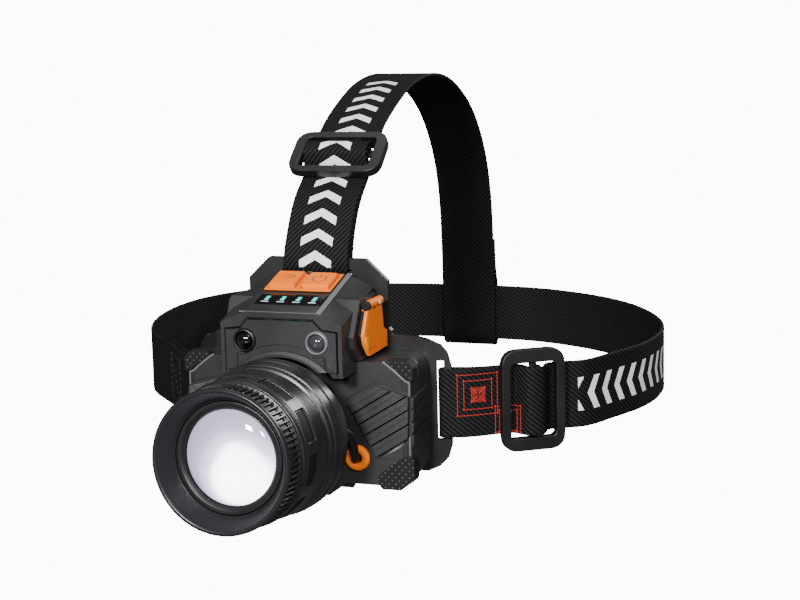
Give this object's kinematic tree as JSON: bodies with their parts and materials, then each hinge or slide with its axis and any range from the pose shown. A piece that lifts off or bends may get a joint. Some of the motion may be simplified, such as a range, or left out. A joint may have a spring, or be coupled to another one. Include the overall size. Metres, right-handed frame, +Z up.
{
  "type": "headlamp",
  "caption": "Zoom headlamp: finned battery housing with a hood and push buttons, a focusing light head that tilts on a back plate, and a webbing head harness with sliders.",
  "frame": {"origin": "centre of the forehead pad's flat rear face, the face that lies on the wearer's forehead", "axes": "the lamp looks along -Y, +Y points into the wearer's head, +Z up, +X to the right as seen from in front of the lamp"},
  "size_m": [0.2185, 0.2767, 0.1452],
  "materials": {
    "housing_plastic": "fine-textured charcoal ABS",
    "dark_plastic": "fine-textured black nylon",
    "orange_plastic": "satin orange ABS",
    "orange_rubber": "orange silicone rubber",
    "rubber": "matte black rubber",
    "webbing": "twill-woven elastic webbing",
    "pad_foam": "closed-cell foam with a knitted face",
    "anodised_aluminium": "satin black anodised",
    "steel": "nickel-plated steel",
    "clear_lens": "clear moulded optic",
    "dark_lens": "smoked gloss polycarbonate",
    "indicator_cyan": "cyan light pipe",
    "led_phosphor": "yellow phosphor",
    "circuit_board": "green solder mask",
    "cell_wrap": "shrink wrap"
  },
  "bodies": {
    "bracket": {"back_plate": "dark_plastic", "forehead_pad": "pad_foam", "hinge_pin": "steel", "headband": "webbing", "top_strap": "webbing", "headband_slider": "dark_plastic", "top_strap_slider": "dark_plastic"},
    "lamp": {"rear_housing": "housing_plastic", "front_cover": "housing_plastic", "housing_seal": "rubber", "corner_pad_lower_left": "rubber", "corner_pad_upper_left": "rubber", "corner_pad_lower_right": "rubber", "corner_pad_upper_right": "rubber", "cell_contact_left": "steel", "cell_contact_right": "steel", "cover_screw_1": "steel", "cover_screw_2": "steel", "cover_screw_3": "steel", "cover_screw_4": "steel", "cell_upper": "cell_wrap", "cell_lower": "cell_wrap", "lamp_hood": "housing_plastic", "face_plate": "housing_plastic", "sensor_ring": "dark_plastic", "sensor_dome": "dark_lens", "signal_ring": "dark_plastic", "signal_lens": "clear_lens", "side_trim": "housing_plastic", "cover_pin": "steel", "usb_socket": "steel", "charge_board": "circuit_board", "button_frame": "orange_plastic", "tact_switch_sensor": "dark_plastic", "tact_switch_power": "dark_plastic", "control_board": "circuit_board", "indicator_window": "dark_lens", "indicator_light_1": "indicator_cyan", "indicator_light_2": "indicator_cyan", "indicator_light_3": "indicator_cyan", "indicator_light_4": "indicator_cyan", "barrel_base": "anodised_aluminium", "inner_tube": "anodised_aluminium", "led_board": "circuit_board", "led_emitter": "led_phosphor", "led_dome": "clear_lens", "cable_grommet": "orange_rubber", "lamp_cable": "rubber"},
    "flap": {"port_cover": "orange_plastic"},
    "sensor_key": {"button_sensor": "orange_plastic"},
    "power_key": {"button_power": "orange_plastic"},
    "optic": {"lens_carrier": "anodised_aluminium", "lens": "clear_lens", "lens_ring": "anodised_aluminium"},
    "focus_head": {"focus_grip": "anodised_aluminium", "bezel": "anodised_aluminium"}
  },
  "joints": [
    {"name": "lamp_tilt", "type": "hinge", "parent": "bracket", "child": "lamp", "pos_m": [0, -0.013, -0.0289], "axis": [1, 0, 0], "range_deg": [0, 60]},
    {"name": "cover_swing", "type": "hinge", "parent": "lamp", "child": "flap", "pos_m": [0.0264, -0.022, 0.0382], "axis": [0, -1, 0], "range_deg": [0, 110]},
    {"name": "sensor_press", "type": "slide", "parent": "lamp", "child": "sensor_key", "axis": [0, 0.2821, -0.9594], "range_m": [0, 0.001], "stiffness_N_per_m": 400},
    {"name": "power_press", "type": "slide", "parent": "lamp", "child": "power_key", "axis": [0, 0.2821, -0.9594], "range_m": [0, 0.001], "stiffness_N_per_m": 400},
    {"name": "focus_travel", "type": "slide", "parent": "lamp", "child": "optic", "axis": [0, -0.999, 0.0436], "range_m": [0, 0.008]},
    {"name": "focus_turn", "type": "hinge", "parent": "optic", "child": "focus_head", "pos_m": [0, -0.07992, -0.00312], "axis": [0, 0.999, -0.0436], "range_deg": [0, 270]}
  ],
  "couplings": [
    {"joint": "focus_travel", "follows": "focus_turn", "m_per_rad": 0.0016976}
  ]
}
